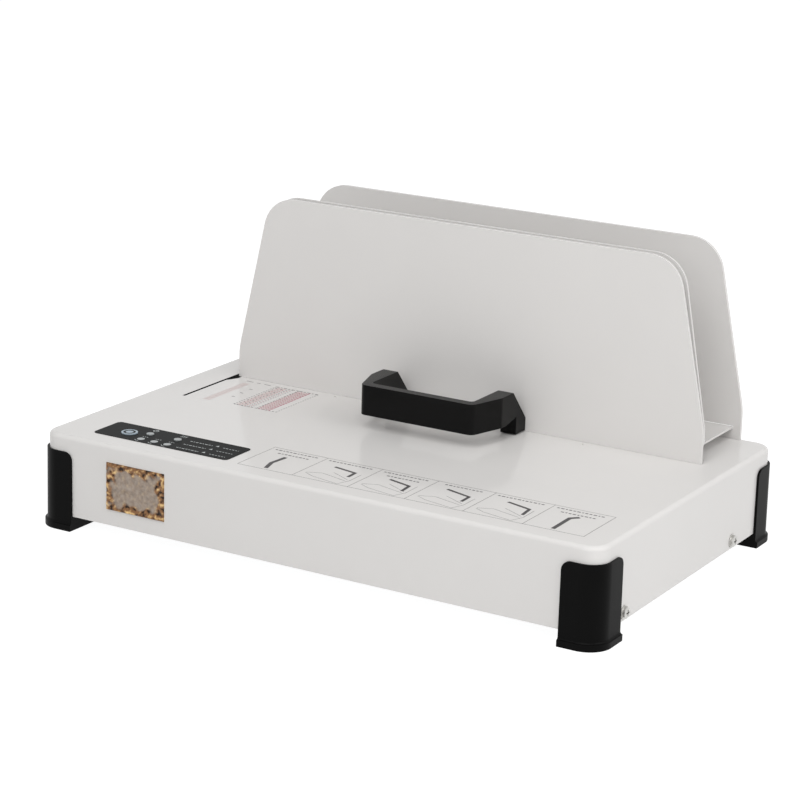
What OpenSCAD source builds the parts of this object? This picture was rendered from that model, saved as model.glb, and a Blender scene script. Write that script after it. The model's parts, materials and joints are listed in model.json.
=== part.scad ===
// Thermal binding machine: a sheet-metal housing on four corner feet, with a fixed rear plate and
// a sliding front plate whose heated floor carries the book while the plates clamp it.
// The origin is on the table under the housing's middle. +X is the operator's right, +Y the back.

/* [Housing] */
// Width of the housing
housing_w = 420; // [400:1:440]
// Depth of the housing
housing_d = 264; // [260:1:284]
// Height of the housing's walls
housing_h = 56; // [54:1:64]
// Height of the housing's lower edge above the table
ground_gap = 10; // [9:0.5:14]
// Thickness of the housing's sheet
sheet = 1.5; // [1.2:0.1:2]
// Plan radius of the upright corners
corner_r = 13; // [10:1:16]
// Outside radius of the bend between the top and the walls
edge_r = 3; // [2.5:0.1:4]
// Height of the base tray's upturned rim
tray_rim = 16; // [14:1:20]
// Gap between the base tray and the walls
tray_gap = 0.3; // [0.2:0.1:0.6]

/* [Feet] */
// Reach of a corner foot along the front or the back
guard_x = 25.6; // [23:0.2:30]
// Reach of a corner foot along the side
guard_y = 28.4; // [26:0.2:34]
// Distance from the top of a foot to the top of the housing
guard_drop = 11; // [6:1:16]
// Wall thickness of a foot
guard_t = 1.8; // [1.5:0.1:3]
// Draft of a foot's wall over its height
guard_draft = 0.3; // [0:0.1:0.6]
// Gap between a foot and the housing
guard_gap = 0.2; // [0.1:0.1:0.4]
// How far a foot's lower flange stands out
flange_out = 1.6; // [1:0.1:3]
// Height of a foot's lower flange
flange_h = 4.4; // [3:0.1:6]
// Radius of the upper ends of a foot's wall
guard_end_r = 6; // [2:0.5:8]

/* [Plates] */
// Distance of the plates' middle from the housing's middle, to the right
plate_x = 3.8; // [0:0.2:6]
// Distance from the front plate's face to the back of the housing
plate_room = 71.7; // [68:0.1:76]
// Distance between the sides of the front plate and of the housing, with the plate in the middle
plate_margin = 26; // [24:0.5:32]
// How far each side of a plate slants inwards
side_slant = 24.8; // [20:0.2:32]
// How much narrower the rear plate is on each side
rear_inset = 1.8; // [0:0.1:4]
// Height of both plates above the housing
plate_h = 136.5; // [110:0.5:150]
// Height above the housing at which the sides start to slant
kink_h = 21.5; // [20:0.5:32]
// Radius of the bend in the sides
kink_r = 60; // [20:5:80]
// Radius of the upper corners
plate_corner_r = 25; // [15:1:30]
// Thickness of the front plate
front_t = 2; // [1.5:0.1:3]
// Thickness of the rear plate
rear_t = 2.5; // [2:0.1:3]
// Running gap between the front plate and the housing
plate_gap = 0.3; // [0.3:0.1:1]
// Height of the notches in the front plate's lower edge
notch_h = 1.2; // [0.8:0.1:2]
// How far the rear plate reaches down inside the back wall
apron_h = 22; // [18:1:24]
// Gap between the rear plate and the back wall
rear_gap = 0.2; // [0.1:0.1:0.5]

/* [Trough] */
// Height of the trough's floor above the housing
floor_h = 8.5; // [8.2:0.1:12]
// Distance from the ends of the trough's floor to the sides of the front plate
floor_inset = 8; // [6:0.5:12]
// Thickness of the trough's sheet
trough_t = 1.5; // [1.2:0.1:2]
// Gap between the front plate and the trough's sheet at the top
lean_gap = 6; // [3:0.5:8]
// Height of the upright strip where the trough's sheet is welded to the front plate
weld_h = 6; // [4:0.5:10]
// Clearance of the floor in the rear plate's window
window_gap = 0.6; // [0.3:0.1:1]
// Travel of the front plate towards the rear plate
travel = 54; // [40:1:56]

/* [Handle] */
// Reach of the handle in front of the plate
handle_reach = 62; // [50:1:66]
// Half length of the handle's bar
bar_half = 43.5; // [38:0.5:48]
// Thickness of the bar
bar_t = 7.5; // [6:0.5:10]
// Height of the bar
bar_h = 21.2; // [18:0.2:26]
// Gap between the bar and the housing
bar_gap = 10.2; // [8:0.1:12]
// Half width of the handle across its legs
leg_half = 51.5; // [50:0.5:60]
// Width of a handle leg
leg_t = 12; // [10:0.5:14]
// Length of a leg's straight part
leg_straight = 35; // [30:1:44]
// Depth of the pad that is screwed to the plate
pad_d = 14; // [11:1:18]
// Length of the slope from the top of a leg down to the plate
leg_slope = 19; // [16:1:24]
// Gap between the pads and the housing
pad_gap = 0.7; // [0.5:0.1:2]

/* [Heater] */
// Length of the hot plate
hot_l = 304; // [290:1:310]
// Width of the hot plate
hot_w = 48; // [40:1:50]
// Thickness of the hot plate
hot_t = 2.5; // [2:0.1:2.6]
// Thickness of the heater mat
mat_t = 1.2; // [0.8:0.1:1.3]
// Thickness of the sheet that holds the mat
cover_t = 0.8; // [0.6:0.1:1]

/* [Slide] */
// Distance between the two guide rods
rod_pitch = 254; // [230:2:270]
// Radius of a guide rod
rod_r = 5; // [4:0.5:6]
// Height of the guide rods above the table
rod_z = 36; // [34:0.5:38]
// Running clearance between rod and bush
rod_clear = 0.05; // [0.02:0.01:0.1]
// Wall of a bush
bush_t = 2; // [1.5:0.1:3]
// Length of a bush
bush_l = 24; // [18:1:28]
// Width of the legs that carry the trough
arm_w = 44; // [36:1:46]
// Thickness of the carriage's sheet
arm_t = 2.5; // [2:0.1:3]

/* [Controls] */
// Length of the control film
film_w = 108.5; // [96:0.5:116]
// Width of the control film
film_d = 30.3; // [28:0.1:34]
// Thickness of the control film
film_t = 0.4; // [0.3:0.1:0.6]
// Radius of the start key
start_r = 5.6; // [4:0.1:6]
// Radius of the small keys and the lamp windows
small_r = 2.6; // [2:0.1:2.8]
// Travel of the keys
key_travel = 0.6; // [0.4:0.1:1]
// Clearance round the keys
key_gap = 0.25; // [0.2:0.05:0.4]
// Distance of the film from the left side of the housing
film_left = 29.9; // [26:0.1:40]
// Distance of the film from the front of the housing
film_front = 17; // [12:0.5:24]

/* [Mains side] */
// Width of the inlet's cavity
inlet_w = 24; // [23:0.5:26]
// Height of the inlet's cavity
inlet_h = 16; // [15:0.5:18]
// Width of the rocker switch's opening
rocker_w = 13; // [11:0.5:16]
// Height of the rocker switch's opening
rocker_h = 19; // [17:0.5:22]
// Distance of the inlet's middle from the side of the housing
inlet_in = 60; // [52:1:80]
// Distance between the middles of the inlet and the rocker switch
rocker_pitch = 46; // [40:1:60]

/* [Badge] */
// Distance of the badge plate from the left side of the housing
badge_in = 54; // [34:1:80]
// Distance from the top of the housing down to the badge plate's lower edge
badge_drop = 45; // [42:1:50]
// Width of the badge plate
badge_w = 47; // [40:1:60]
// Height of the badge plate
badge_h = 33; // [28:1:36]

/* [Fasteners] */
// Shank radius of the machine screws
screw_r = 2; // [1.5:0.1:2.5]
// Head radius of the machine screws
head_r = 3.8; // [3.2:0.1:4.2]
// Head height of the machine screws
head_h = 2.2; // [1.6:0.1:2.6]
// Radius of the washers on the side screws
washer_r = 4.6; // [4.3:0.1:5.5]
// Thickness of those washers
washer_t = 0.8; // [0.5:0.1:1.2]
// Distance of the front side screws from the front of the housing
side_screw_front = 36; // [34:1:60]
// Distance of the rear side screws from the back of the housing
side_screw_back = 65; // [36:1:80]
// Height of the side screws above the housing's lower edge
side_screw_up = 5.6; // [5:0.1:9]
// Clearance round a screw's shank
screw_gap = 0.2; // [0.1:0.05:0.4]

/* [Hidden] */
$fn = 48;
over = 1;
top_z = ground_gap + housing_h;
under_z = top_z - sheet;
plate_top = top_z + plate_h;
half_w = housing_w / 2;
half_d = housing_d / 2;
plate_y = half_d - plate_room;
base_half = half_w - plate_margin;
floor_half = base_half - floor_inset;
tray_w = housing_w - 2 * (sheet + tray_gap);
tray_d = housing_d - 2 * (sheet + tray_gap);
tray_r = corner_r - sheet - tray_gap;
tray_top = ground_gap + sheet;
guard_h = housing_h - guard_drop + ground_gap;
plate_back = plate_y + front_t;
floor_top = top_z + floor_h;
floor_z = floor_top - trough_t;
side_screws_y = [side_screw_front - half_d, half_d - side_screw_back];
side_screw_z = ground_gap + side_screw_up;
rear_back = half_d - sheet - rear_gap;
rear_y = rear_back - rear_t;
rear_half = base_half - rear_inset;
floor_end = rear_y + rear_t / 2;
rear_screw_span = rear_half - 22;

// Cut-outs of the top round the front plate
slit_out = 3.9;
slit_w = 1.8;
slit_l = 65.6;
relief_d = 8.8;
relief_w = 6.3;
relief_in = 9;
dot_x = 98.6;
dot_y = 4.6;
dot_r = 0.9;

// Slide: the bush blocks run between the rod brackets, which are also the end stops
stop_gap = 0.3;
bracket_t = 8;
bracket_w = 24;
bracket_top = rod_z + rod_r + 4;
bracket_bore_l = 9;
bracket_screw_x = 8;
block_w = 30;
block_y = plate_y - 40;
bracket_front_y = block_y - stop_gap - bracket_t;
bracket_rear_y = block_y + bush_l + travel + stop_gap;
bush_r = rod_r + rod_clear + bush_t;
block_top = rod_z + bush_r + 4;
block_low = rod_z - bush_r - 4;
arm_y = plate_back + 1.7;
flange_l = 11;
nut_h = 2.4;
nut_r = 3.8;
stud_l = arm_t + nut_h + 0.6;
slot_gap = 1;
beam_half = rod_pitch / 2 + arm_w / 2;

// Heater: the hot plate hangs under the trough's floor, behind the carriage's flange
hot_y = arm_y + flange_l + 1;
hot_z = floor_z - hot_t;
mat_z = hot_z - mat_t;
mat_l = hot_l - 70;
mat_w = hot_w - 16;
cover_z = mat_z - cover_t;
heater_screw_x = mat_l / 2 + 5;
heater_screw_r = 1.25;
cutout_size = [18, 12, 3];
sensor_size = [14, 4, 2.6];

// Controls, from the film's lower left corner
film_x = film_left - half_w;
film_y = film_front - half_d;
key_row_z = under_z - 0.3;
start_at = [film_x + 21, film_y + 13];
timer_at = [film_x + 34.5, film_y + 18];
heat_at = [film_x + 57, film_y + 18];
lamps_at = [for (x = [35.5, 46.3, 57]) [film_x + x, film_y + 6]];
board_t = 1.6;
board_z = under_z - 9;
switch_h = 3;
stem_z = board_z + switch_h + key_travel + 0.3;

// Mains side, on the back wall below the rear plate
mains_z = ground_gap + 17;
inlet_x = inlet_in - half_w;
rocker_x = inlet_x + rocker_pitch;
inlet_wall = 2;
inlet_cut = 5;
pin_size = [2, 14, 4];
inlet_depth = 22;
bezel_t = 2;

badge_x = badge_in - half_w;
badge_z = top_z - badge_drop;

// One rounded corner of an outline: the arc between the edges to the points before and after
function unit(v) = v / norm(v);
function turned(v, a) = [v.x * cos(a) - v.y * sin(a), v.x * sin(a) + v.y * cos(a)];
function corner_arc(before, at, after, r, steps) =
    let (u = unit(before - at), v = unit(after - at), half = acos(u * v) / 2)
    let (centre = at + unit(u + v) * r / sin(half), first = at + u * r / tan(half) - centre)
    let (last = at + v * r / tan(half) - centre, turn = (180 - 2 * half) * sign(cross(first, last)))
    [for (i = [0:steps]) centre + turned(first, turn * i / steps)];

// An outline from points [x, y, radius], with each corner rounded by its own radius
function rounded(points, steps = 10) =
    let (count = len(points), flat = [for (p = points) [p.x, p.y]])
    [for (i = [0:count - 1])
        each points[i][2] > 0
            ? corner_arc(flat[(i + count - 1) % count], flat[i], flat[(i + 1) % count], points[i][2], steps)
            : [flat[i]]];

// The outline of a plate of the given half width, from the height low upwards. The bend in its sides
// is no longer than the upright stretch below it.
function plate_outline(half, low, low_r) =
    let (kink_z = top_z + kink_h, turn = atan(side_slant / (plate_top - kink_z)))
    let (bend_r = min(kink_r, (kink_z - low - low_r - 0.1) / tan(turn / 2)), top = half - side_slant)
    rounded([
        [-half, low, low_r], [-half, kink_z, bend_r], [-top, plate_top, plate_corner_r],
        [top, plate_top, plate_corner_r], [half, kink_z, bend_r], [half, low, low_r]
    ]);

// A rectangle with round corners, centred
module rounded_plan(w, d, r) {
    square([w - 2 * r, d], center = true);
    square([w, d - 2 * r], center = true);
    for (x = [-1, 1], y = [-1, 1])
        translate([x * (w / 2 - r), y * (d / 2 - r)]) circle(r);
}

// An upright outline in X and Z, thickened forwards from the plane at back
module upright(back, t) {
    translate([0, back, 0]) rotate([90, 0, 0]) linear_extrude(t) children();
}

// A side profile in Y and Z, extruded along X from x = from
module along_x(from, l) {
    translate([from, 0, 0]) rotate([90, 0, 90]) linear_extrude(l) children();
}

// A pan-head screw along +Z: the head starts at zero and the shank goes up
module screw(l, r = screw_r, head = head_r, h = head_h) {
    translate([0, 0, -h]) cylinder(r = head, h = h);
    translate([0, 0, -h / 2]) cylinder(r = r, h = l + h / 2);
}

// Housing

// Section of a wall and its bend, with the outside of the wall at the distance r
module wall_section(r) {
    translate([r - sheet, ground_gap]) square([sheet, housing_h - edge_r]);
    translate([r - edge_r, top_z - edge_r]) intersection() {
        difference() {
            circle(edge_r);
            circle(edge_r - sheet);
        }
        square(edge_r);
    }
}

module housing_shell() {
    for (turn = [0:3]) {
        reach = turn % 2 == 0 ? half_d : half_w;
        run = 2 * ((turn % 2 == 0 ? half_w : half_d) - corner_r);
        rotate([0, 0, 90 * turn]) along_x(-run / 2, run) wall_section(reach);
    }
    for (x = [0, 1], y = [0, 1])
        mirror([x, 0, 0]) mirror([0, y, 0]) translate([half_w - corner_r, half_d - corner_r, 0])
            rotate_extrude(angle = 90) wall_section(corner_r);
    translate([0, 0, under_z]) linear_extrude(sheet)
        rounded_plan(housing_w - 2 * edge_r, housing_d - 2 * edge_r, corner_r - edge_r);
}

// Slots through the top for the carriage's legs, hidden under the trough's floor
module leg_slots() {
    slot_l = arm_t + travel + 2 * slot_gap;
    for (side = [-1, 1])
        top_hole(plate_x + side * rod_pitch / 2 - arm_w / 2 - slot_gap, arm_y - slot_gap,
            arm_w + 2 * slot_gap, slot_l);
}

// A hole in the top with its near left corner at x and y
module top_hole(x, y, w, d) {
    translate([x, y, under_z - over]) cube([w, d, sheet + 2 * over]);
}

// A round hole in the top
module top_bore(at, r) {
    translate([at.x, at.y, under_z - over]) cylinder(r = r, h = sheet + 2 * over);
}

// The narrow slit in front of the plate's left end, and the relief holes at both ends
module end_slits() {
    slit_x = plate_x - base_half - slit_out;
    top_hole(slit_x, plate_y - slit_l, slit_w, slit_l);
    top_hole(slit_x, plate_y - front_t, slit_out + 0.3, relief_d + front_t);
    top_hole(plate_x + base_half - relief_in, plate_back + 0.2, relief_w, relief_d);
}

// The slot along the back of the top, up to the back wall, that the rear plate stands in
module rear_plate_slot() {
    front = rear_y - plate_gap;
    translate([plate_x - rear_half - plate_gap, front, top_z - edge_r - 0.1])
        cube([2 * (rear_half + plate_gap), half_d - sheet - front, edge_r + over]);
}

module side_screw_holes(r, l) {
    for (side = [-1, 1], y = side_screws_y)
        translate([side * (half_w - l / 2 + over), y, side_screw_z]) rotate([0, 90, 0])
            cylinder(r = r, h = l, center = true);
}

module top_housing() color([0.86, 0.85, 0.84]) difference() {
    housing_shell();
    leg_slots();
    end_slits();
    rear_plate_slot();
    for (side = [-1, 1]) top_bore([plate_x + side * dot_x, plate_y - dot_y], dot_r);
    side_screw_holes(screw_r + screw_gap, 2 * (sheet + over));
    rear_screw_places() cylinder(r = screw_r + screw_gap, h = 4 * sheet, center = true);
    for (key = [[start_at, start_r], [timer_at, small_r], [heat_at, small_r]])
        top_bore(key[0], key[1] + key_gap);
    for (lamp = lamps_at) top_bore(lamp, small_r);
    translate([inlet_x, half_d, mains_z])
        cube([inlet_w + 2 * inlet_wall + 0.4, 4 * sheet, inlet_h + 2 * inlet_wall + 0.4], center = true);
    translate([rocker_x, half_d, mains_z]) cube([rocker_w + 3.4, 4 * sheet, rocker_h + 3.4], center = true);
}

// Base tray: floor, upturned rim, cooling slots and the holes of the feet
module base_tray() color([0.7, 0.71, 0.72]) difference() {
    translate([0, 0, ground_gap]) linear_extrude(tray_rim) rounded_plan(tray_w, tray_d, tray_r);
    translate([0, 0, tray_top]) linear_extrude(tray_rim)
        rounded_plan(tray_w - 2 * sheet, tray_d - 2 * sheet, tray_r - sheet);
    side_screw_holes(screw_r, 3 * (sheet + over));
    foot_screw_places() cylinder(r = screw_r, h = 4 * sheet, center = true);
    bracket_screw_places() cylinder(r = screw_r + screw_gap, h = 4 * sheet, center = true);
    for (side = [-1, 1], row = [0:8])
        translate([side * 70, -64 + 12 * row, ground_gap]) cooling_slot(44, 3);
    translate([inlet_x, half_d, mains_z]) cube([inlet_w + 34, 12, inlet_h + 14], center = true);
    translate([rocker_x, half_d, mains_z]) cube([rocker_w + 14, 12, rocker_h + 12], center = true);
}

module cooling_slot(l, r) {
    for (x = [-1, 1]) translate([x * (l / 2 - r), 0, -over]) cylinder(r = r, h = sheet + 2 * over);
    translate([r - l / 2, -r, -over]) cube([l - 2 * r, 2 * r, sheet + 2 * over]);
}

// Feet

// Section of a foot's wall, with its inner face at the distance r
module guard_section(r) {
    outer = r + guard_t;
    polygon(concat(
        [[r - guard_gap, 0], [outer + flange_out, 0]],
        [for (a = [0:15:90]) [outer + flange_out * (1 - sin(a)), flange_h + flange_out * (1 - cos(a))]],
        [[outer - guard_draft, guard_h], [r, guard_h], [r, ground_gap], [r - guard_gap, ground_gap]]
    ));
}

// The round upper end of a wing, as a cutter with its sharp corner at the origin, cutting along Y
module wing_end_cut() {
    rotate([90, 0, 0]) translate([0, 0, -20]) linear_extrude(40) difference() {
        translate([-over, -guard_end_r]) square([guard_end_r + over, guard_end_r + over]);
        translate([guard_end_r, -guard_end_r]) circle(guard_end_r);
    }
}

// A foot for the right rear corner: the guard wraps the corner and its pad lies under the tray
module foot() {
    inner = corner_r + guard_gap;
    color([0.12, 0.12, 0.12]) difference() {
        union() {
            translate([half_w - corner_r, half_d - corner_r, 0]) {
                rotate_extrude(angle = 90) guard_section(inner);
                along_x(corner_r - guard_x, guard_x - corner_r) guard_section(inner);
                rotate([90, 0, 0]) linear_extrude(guard_y - corner_r) guard_section(inner);
            }
            linear_extrude(ground_gap) intersection() {
                translate([half_w - guard_x, half_d - guard_y]) square([guard_x, guard_y]);
                rounded_plan(housing_w, housing_d, corner_r);
            }
        }
        translate([half_w - guard_x, half_d, guard_h]) wing_end_cut();
        translate([half_w, half_d - guard_y, guard_h]) rotate([0, 0, 90]) wing_end_cut();
        one_foot_screws() {
            cylinder(r = screw_r + screw_gap, h = 4 * ground_gap, center = true);
            translate([0, 0, -over]) cylinder(r = head_r + 0.4, h = over + screw_seat);
        }
    }
}

// The two screws of a foot, from below
screw_seat = 4.5;
module one_foot_screws() {
    for (at = [[half_w - 17, half_d - 9], [half_w - 9, half_d - 20]]) translate([at.x, at.y, 0]) children();
}

module all_corners() {
    for (x = [0, 1], y = [0, 1]) mirror([x, 0, 0]) mirror([0, y, 0]) children();
}

module foot_screw_places() {
    all_corners() one_foot_screws() translate([0, 0, ground_gap]) children();
}

module foot_front_left() mirror([1, 0, 0]) mirror([0, 1, 0]) foot();
module foot_front_right() mirror([0, 1, 0]) foot();
module foot_rear_left() mirror([1, 0, 0]) foot();
module foot_rear_right() foot();

module foot_screws() color([0.6, 0.6, 0.62])
    all_corners() one_foot_screws() translate([0, 0, screw_seat]) screw(ground_gap - screw_seat + sheet + 2);

// Side screws

module side_screws() color([0.62, 0.62, 0.64])
    for (side = [-1, 1], y = side_screws_y)
        translate([side * (half_w + washer_t), y, side_screw_z]) rotate([0, -side * 90, 0])
            screw(washer_t + 2 * sheet + tray_gap + 3);

module side_washers() color([0.75, 0.75, 0.76])
    for (side = [-1, 1], y = side_screws_y)
        translate([side * (half_w + washer_t / 2), y, side_screw_z]) rotate([0, 90, 0]) difference() {
            cylinder(r = washer_r, h = washer_t, center = true);
            cylinder(r = screw_r + screw_gap, h = 2 * washer_t, center = true);
        }

// Rear plate, inside the back wall, with the window that the trough's floor and the heater slide through

module rear_screw_places() {
    for (i = [-5:2:5])
        translate([plate_x + rear_screw_span * i / 5, half_d, top_z - apron_h / 2 - 2]) rotate([90, 0, 0])
            children();
}

module window_part(half, low) {
    translate([plate_x - half, rear_y - over, low])
        cube([2 * half, rear_t + 2 * over, floor_top + window_gap - low]);
}

module rear_plate() color([0.85, 0.83, 0.8]) difference() {
    translate([plate_x, 0, 0]) upright(rear_back, rear_t)
        polygon(plate_outline(rear_half, top_z - apron_h, 5));
    window_part(floor_half + window_gap, floor_z - window_gap);
    window_part(max(hot_l / 2, beam_half) + 2 * window_gap, top_z);
    rear_screw_places() cylinder(r = screw_r, h = 20, center = true);
}

module rear_plate_screws() color([0.62, 0.62, 0.64])
    rear_screw_places() screw(sheet + rear_gap + rear_t + 1.5);

// Front plate and trough

module front_plate() color([0.84, 0.83, 0.82]) difference() {
    translate([plate_x, 0, 0]) upright(plate_back, front_t) difference() {
        polygon(plate_outline(base_half, top_z + plate_gap, 0.8));
        for (side = [-1, 1]) translate([side * rod_pitch / 2, top_z + plate_gap]) polygon([
            [-arm_w / 2, -over], [-arm_w / 2, notch_h * 0.6], [6 - arm_w / 2, notch_h],
            [arm_w / 2 - 6, notch_h], [arm_w / 2, notch_h * 0.6], [arm_w / 2, -over]
        ]);
    }
    handle_screw_places() cylinder(r = handle_screw_r + screw_gap, h = 4 * front_t, center = true);
}

// The trough's one sheet: the leaning inner wall, the bend and the floor, with the studs welded under it
module trough_sheet() color([0.85, 0.84, 0.82]) {
    bent_trough();
    carriage_stud_places() translate([0, 0, -stud_l]) cylinder(r = screw_r, h = stud_l + trough_t / 2);
}

module bent_trough() intersection() {
    along_x(plate_x - base_half - over, 2 * (base_half + over)) polygon(rounded([
        [plate_back, floor_z, trough_t + 1], [plate_back, floor_top + weld_h, 0],
        [plate_back + lean_gap, plate_top, 0], [plate_back + lean_gap + trough_t, plate_top, 0],
        [plate_back + trough_t, floor_top + weld_h, 0], [plate_back + trough_t, floor_top, 1],
        [floor_end, floor_top, 0], [floor_end, floor_z, 0]
    ], 6));
    translate([plate_x, 0, 0]) upright(floor_end + over, floor_end + over - plate_y) polygon(concat(
        plate_outline(base_half, floor_top + 1.5, 4),
        [[floor_half, floor_top + 1.5], [floor_half, floor_z - over], [-floor_half, floor_z - over],
         [-floor_half, floor_top + 1.5]]
    ));
}

// Handle

handle_screw_r = 1.5;
handle_x = plate_x + 0.8;
handle_screw_x = leg_half - leg_t / 2;
handle_screw_z = top_z + floor_h / 2 - trough_t / 2 + 0.2;
module handle_screw_places() {
    for (side = [-1, 1])
        translate([handle_x + side * handle_screw_x, plate_back, handle_screw_z]) rotate([90, 0, 0])
            children();
}

// A bridge handle: its plan and its side profile cut one solid, whose pads are screwed from behind
module handle() color([0.11, 0.11, 0.11]) {
    bar_y = plate_y - handle_reach;
    low = top_z + bar_gap;
    top = low + bar_h;
    in_x = leg_half - leg_t;
    difference() {
        intersection() {
            translate([handle_x, 0, top_z]) linear_extrude(bar_gap + bar_h) difference() {
                polygon(rounded([
                    [-leg_half, plate_y, 0], [-leg_half, plate_y - leg_straight, 8], [-bar_half, bar_y, 5],
                    [bar_half, bar_y, 5], [leg_half, plate_y - leg_straight, 8], [leg_half, plate_y, 0]
                ], 6));
                polygon(rounded([
                    [-in_x, plate_y + over, 0], [-in_x, bar_y + bar_t, 3],
                    [in_x, bar_y + bar_t, 3], [in_x, plate_y + over, 0]
                ], 6));
            }
            along_x(handle_x - leg_half - over, 2 * (leg_half + over)) polygon([
                [plate_y, top_z + pad_gap], [plate_y, low - 0.5], [plate_y - leg_slope, top],
                [bar_y, top], [bar_y, low], [plate_y - 2 * pad_d, low],
                [plate_y - pad_d, low + 3], [plate_y - pad_d, top_z + pad_gap]
            ]);
        }
        handle_screw_places() cylinder(r = handle_screw_r, h = 2 * (front_t + 8), center = true);
    }
}

module handle_screws() color([0.62, 0.62, 0.64])
    handle_screw_places() screw(front_t + 7.5, handle_screw_r, 2.8, 1.3);

// Heater under the trough's floor

module hot_plate() color([0.78, 0.79, 0.8]) difference() {
    translate([plate_x - hot_l / 2, hot_y, hot_z]) cube([hot_l, hot_w, hot_t]);
    heater_screw_places() translate([0, 0, -over]) cylinder(r = heater_screw_r, h = over + 2);
}

module heater_mat() color([0.75, 0.35, 0.2])
    translate([plate_x - mat_l / 2, hot_y + (hot_w - mat_w) / 2, mat_z]) cube([mat_l, mat_w, mat_t]);

// Pressed sheet that holds the mat: a flat over the mat and a step up to the hot plate at each end
module heater_cover() color([0.72, 0.72, 0.7]) difference() {
    translate([plate_x, hot_y + (hot_w - mat_w) / 2, 0]) {
        translate([-mat_l / 2 - cover_t, 0, cover_z]) cube([mat_l + 2 * cover_t, mat_w, cover_t]);
        for (side = [0, 1]) mirror([side, 0, 0]) {
            translate([mat_l / 2, 0, cover_z]) cube([cover_t, mat_w, mat_t + cover_t]);
            translate([mat_l / 2, 0, hot_z - cover_t]) cube([10, mat_w, cover_t]);
        }
    }
    heater_screw_places() cylinder(r = heater_screw_r + screw_gap, h = 6, center = true);
}

module heater_screw_places() {
    for (side = [-1, 1], row = [-1, 1])
        translate([plate_x + side * heater_screw_x, hot_y + hot_w / 2 + row * 10, hot_z]) children();
}

module heater_screws() color([0.62, 0.62, 0.64])
    heater_screw_places() translate([0, 0, -cover_t]) screw(cover_t + 1.8, heater_screw_r, 2.2, 0.9);

module thermal_cutout() color([0.9, 0.88, 0.8])
    translate([plate_x + mat_l / 2 + 14, hot_y + (hot_w - cutout_size.y) / 2, hot_z - cutout_size.z])
        cube(cutout_size);

module temperature_sensor() color([0.2, 0.2, 0.2])
    translate([plate_x - mat_l / 2 - 30, hot_y + (hot_w - sensor_size.y) / 2, hot_z - sensor_size.z])
        cube(sensor_size);

// Carriage and its slide, inside the housing

module carriage_frame() color([0.66, 0.67, 0.69]) difference() {
    union() {
        translate([plate_x - beam_half, block_y, block_top])
            cube([2 * beam_half, arm_y + arm_t - block_y, arm_t]);
        for (side = [-1, 1]) translate([plate_x + side * rod_pitch / 2, 0, 0]) {
            translate([-arm_w / 2, arm_y, block_top]) cube([arm_w, arm_t, floor_z - block_top]);
            translate([-arm_w / 2, arm_y, floor_z - arm_t]) cube([arm_w, flange_l, arm_t]);
            translate([-block_w / 2, block_y, block_low]) cube([block_w, bush_l, block_top - block_low]);
        }
    }
    for (side = [-1, 1])
        translate([plate_x + side * rod_pitch / 2, block_y - over, rod_z]) rotate([-90, 0, 0])
            cylinder(r = bush_r, h = bush_l + 2 * over);
    carriage_stud_places() cylinder(r = screw_r + screw_gap, h = 4 * arm_t, center = true);
}

// Places of the studs under the trough's floor
module carriage_stud_places() {
    for (side = [-1, 1], x = [-1, 1])
        translate([plate_x + side * rod_pitch / 2 + x * 14, arm_y + flange_l - 4.4, floor_z]) children();
}

module carriage_nuts() color([0.62, 0.62, 0.64])
    carriage_stud_places() translate([0, 0, -arm_t - nut_h]) difference() {
        cylinder(r = nut_r, h = nut_h, $fn = 6);
        translate([0, 0, -over]) cylinder(r = screw_r, h = nut_h + 2 * over);
    }

module guide_bushes() color([0.72, 0.55, 0.3])
    for (side = [-1, 1])
        translate([plate_x + side * rod_pitch / 2, block_y, rod_z]) rotate([-90, 0, 0]) difference() {
            cylinder(r = bush_r, h = bush_l);
            translate([0, 0, -over]) cylinder(r = rod_r + rod_clear, h = bush_l + 2 * over);
        }

module guide_rods() color([0.8, 0.8, 0.82])
    for (side = [-1, 1])
        translate([plate_x + side * rod_pitch / 2, bracket_front_y, rod_z]) rotate([-90, 0, 0])
            cylinder(r = rod_r, h = bracket_rear_y + bracket_t - bracket_front_y);

module rod_brackets() color([0.3, 0.31, 0.33])
    for (side = [-1, 1], y = [bracket_front_y, bracket_rear_y])
        translate([plate_x + side * rod_pitch / 2, y, 0]) difference() {
            translate([-bracket_w / 2, 0, tray_top]) cube([bracket_w, bracket_t, bracket_top - tray_top]);
            translate([0, -over, rod_z]) rotate([-90, 0, 0]) cylinder(r = rod_r, h = bracket_t + 2 * over);
            for (x = [-1, 1])
                translate([x * bracket_screw_x, bracket_t / 2, tray_top - over])
                    cylinder(r = screw_r, h = over + bracket_bore_l);
        }

module bracket_screw_places() {
    for (side = [-1, 1], y = [bracket_front_y, bracket_rear_y], x = [-1, 1])
        translate([plate_x + side * rod_pitch / 2 + x * bracket_screw_x, y + bracket_t / 2, ground_gap])
            children();
}

module bracket_screws() color([0.62, 0.62, 0.64])
    bracket_screw_places() screw(sheet + bracket_bore_l - 1, screw_r, 3.4, 1.6);

// Controls

module control_film() color([0.24, 0.25, 0.25])
    translate([0, 0, top_z]) linear_extrude(film_t) difference() {
        translate([film_x + film_w / 2, film_y + film_d / 2]) rounded_plan(film_w, film_d, 3);
        for (key = [[start_at, start_r], [timer_at, small_r], [heat_at, small_r]])
            translate(key[0]) circle(key[1] + key_gap);
        for (lamp = lamps_at) translate(lamp) circle(small_r);
    }

// A key: a cap in the film's hole, a collar that keeps it in, and a stem above its switch
module key(at, r) {
    translate([at.x, at.y, 0]) {
        translate([0, 0, key_row_z - over])
            cylinder(r = r, h = top_z + film_t + key_travel - key_row_z + over);
        translate([0, 0, key_row_z - 1.4]) cylinder(r = r + 1, h = 1.4);
        translate([0, 0, stem_z]) cylinder(r = 1.6, h = key_row_z - stem_z);
    }
}

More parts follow.
